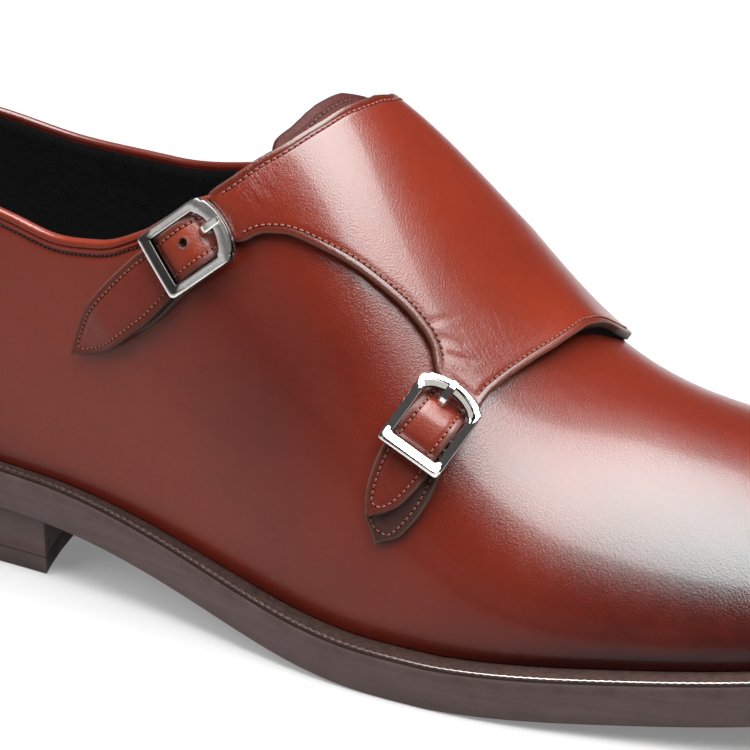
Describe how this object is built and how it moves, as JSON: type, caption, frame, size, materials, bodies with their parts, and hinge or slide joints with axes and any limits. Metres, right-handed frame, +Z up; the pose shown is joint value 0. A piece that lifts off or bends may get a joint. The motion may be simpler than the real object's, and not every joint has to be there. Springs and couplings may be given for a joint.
{
  "type": "double monk strap shoe",
  "caption": "Right-foot leather double monk strap shoe with buckled flap, tongue, welted sole and stacked heel, standing empty on its sole.",
  "frame": {"origin": "middle of the sole's bounding box, on the floor", "axes": "+X to the toe, +Y to the inner (medial) side, +Z up"},
  "size_m": [0.3, 0.1055, 0.1114],
  "materials": {
    "upper_leather": "polished calf",
    "tongue_leather": "soft, grained",
    "raw_leather": "raw",
    "insole_leather": "matte black",
    "welt_leather": "waxed",
    "sole_leather": "stained edge",
    "top_piece_rubber": "matte",
    "buckle_steel": "polished"
  },
  "bodies": {
    "root": {"outsole": "sole_leather", "welt": "welt_leather", "heel_stack": "sole_leather", "heel_top_piece": "top_piece_rubber", "insole": "insole_leather", "upper": "upper_leather", "tongue": "tongue_leather", "monk_flap": "upper_leather", "strap_upper": "upper_leather", "strap_lower": "upper_leather", "buckle_tab_upper": "raw_leather", "buckle_tab_lower": "raw_leather", "buckle_frame_upper": "buckle_steel", "buckle_frame_lower": "buckle_steel", "buckle_prong_upper": "buckle_steel", "buckle_prong_lower": "buckle_steel"}
  },
  "joints": []
}
